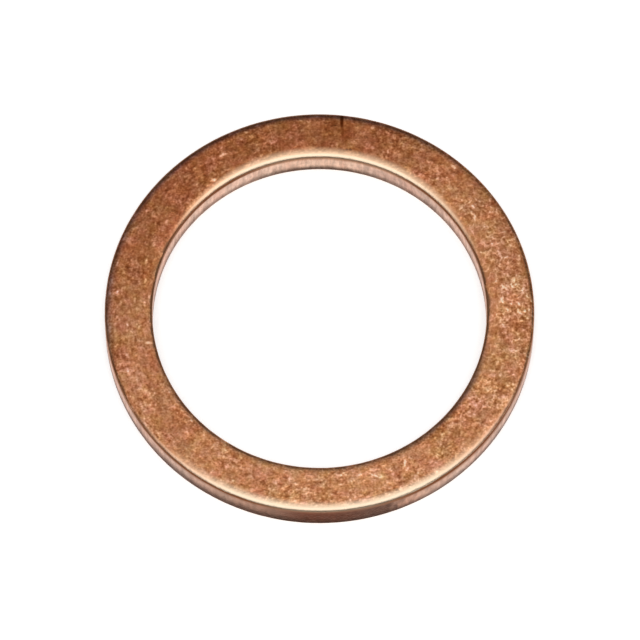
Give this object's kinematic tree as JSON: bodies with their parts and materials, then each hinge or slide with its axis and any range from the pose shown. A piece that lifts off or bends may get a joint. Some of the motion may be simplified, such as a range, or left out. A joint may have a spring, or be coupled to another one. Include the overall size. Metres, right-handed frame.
{
  "type": "oil drain plug gasket",
  "caption": "Flat round copper sealing ring with a plain bore and soft rolled edges, clamped between an oil drain plug's head and the sump.",
  "frame": {"origin": "centre of the plain bottom sealing face, on the bore's axis", "axes": "+Z along the bore's axis, from the plain face to the rolled face; X and Y are any two directions across the ring"},
  "size_m": [0.018, 0.018, 0.0015],
  "materials": {
    "copper": "tumbled bare copper, slightly tarnished, with fine scratches"
  },
  "bodies": {
    "root": {"sealing_ring": "copper"}
  },
  "joints": []
}
